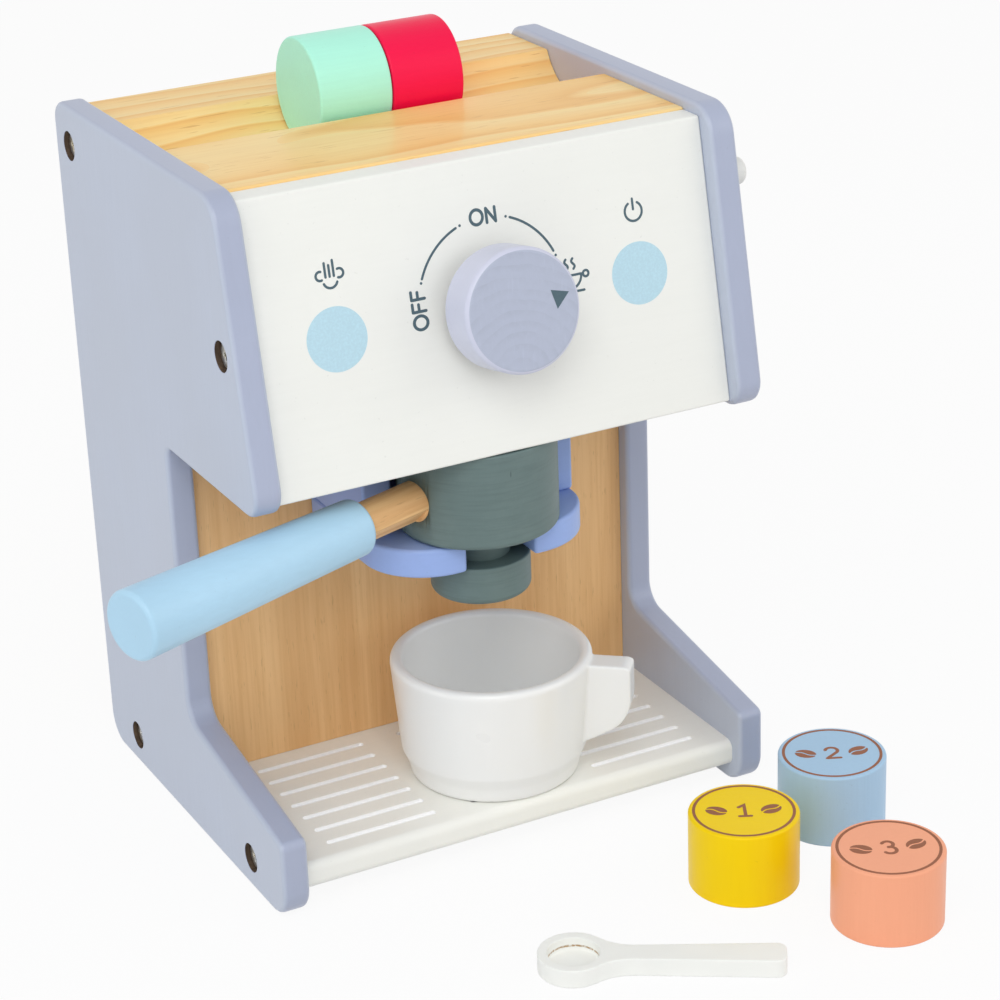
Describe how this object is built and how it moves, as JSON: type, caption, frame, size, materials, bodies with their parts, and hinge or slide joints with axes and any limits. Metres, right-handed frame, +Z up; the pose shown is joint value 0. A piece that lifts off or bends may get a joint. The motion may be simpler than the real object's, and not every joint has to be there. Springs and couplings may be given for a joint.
{
  "type": "toy coffee maker",
  "caption": "Wooden toy espresso machine with a turning dial, a swinging and pull-out portafilter, a grooved tray, a cup, a spoon and loose capsules",
  "frame": {"origin": "centre of the whole set's footprint, on the surface that it stands on", "axes": "+Z up, front of the machine towards -Y, +X to the right seen from the front"},
  "size_m": [0.2464, 0.2589, 0.2499],
  "materials": {
    "lavender_paint": "lavender grey paint on plywood",
    "white_paint": "satin white paint on wood",
    "birch": "bare birch, vertical grain",
    "pine": "bare pine, grain along X",
    "zinc": "zinc plated",
    "periwinkle_paint": "periwinkle blue paint on wood",
    "slate_paint": "slate green paint on wood",
    "grip_paint": "light blue paint on wood",
    "beech": "bare beech",
    "knob_paint": "lavender paint on end grain",
    "cup_paint": "white paint on wood",
    "spoon_paint": "white paint on wood",
    "mint_paint": "mint paint on wood",
    "red_paint": "red paint on wood",
    "yellow_paint": "yellow paint on wood",
    "blue_paint": "pale blue paint on wood",
    "salmon_paint": "salmon paint on wood"
  },
  "bodies": {
    "case": {"left_side_panel": "lavender_paint", "right_side_panel": "lavender_paint", "front_panel": "white_paint", "back_panel": "birch", "top_board": "pine", "tray_board": "white_paint", "left_side_screws": "zinc", "right_side_screws": "zinc", "back_panel_dowels": "beech", "bracket_block": "periwinkle_paint", "fork_plate": "periwinkle_paint", "bracket_screws": "zinc", "fork_dowels": "beech", "side_peg": "white_paint"},
    "dial": {"knob": "knob_paint", "knob_spacer": "beech", "knob_axle": "beech", "knob_collar": "beech"},
    "portafilter_neck": {"neck_dowel": "slate_paint", "spout": "slate_paint"},
    "portafilter": {"basket": "slate_paint", "handle_neck": "beech", "grip": "grip_paint"},
    "drinking_cup": {"cup": "cup_paint"},
    "mint_capsule": {"capsule_mint": "mint_paint"},
    "red_capsule": {"capsule_red": "red_paint"},
    "yellow_capsule": {"capsule_yellow": "yellow_paint"},
    "blue_capsule": {"capsule_blue": "blue_paint"},
    "salmon_capsule": {"capsule_salmon": "salmon_paint"},
    "small_spoon": {"spoon": "spoon_paint"}
  },
  "joints": [
    {"name": "knob_turn", "type": "hinge", "parent": "case", "child": "dial", "pos_m": [0.0135, -0.00507, 0.1821], "axis": [0, -0.9806, 0.1959], "continuous": true},
    {"name": "portafilter_slide", "type": "slide", "parent": "case", "child": "portafilter_neck", "axis": [0, -1, 0], "range_m": [0, 0.09]},
    {"name": "portafilter_swing", "type": "hinge", "parent": "portafilter_neck", "child": "portafilter", "pos_m": [0.0135, 0.0109, 0.12], "axis": [0, 0, 1], "range_deg": [-10, 154]},
    {"name": "cup_slide", "type": "slide", "parent": "case", "child": "drinking_cup", "axis": [0, -1, 0], "range_m": [0, 0.055]},
    {"name": "mint_capsule_lift", "type": "slide", "parent": "case", "child": "mint_capsule", "axis": [0, 0, 1], "range_m": [0, 0.06]},
    {"name": "red_capsule_lift", "type": "slide", "parent": "case", "child": "red_capsule", "axis": [0, 0, 1], "range_m": [0, 0.06]},
    {"name": "yellow_capsule_lift", "type": "slide", "parent": "case", "child": "yellow_capsule", "axis": [0, 0, 1], "range_m": [0, 0.06]},
    {"name": "blue_capsule_lift", "type": "slide", "parent": "case", "child": "blue_capsule", "axis": [0, 0, 1], "range_m": [0, 0.06]},
    {"name": "salmon_capsule_lift", "type": "slide", "parent": "case", "child": "salmon_capsule", "axis": [0, 0, 1], "range_m": [0, 0.06]},
    {"name": "small_spoon_lift", "type": "slide", "parent": "case", "child": "small_spoon", "axis": [0, 0, 1], "range_m": [0, 0.06]}
  ]
}
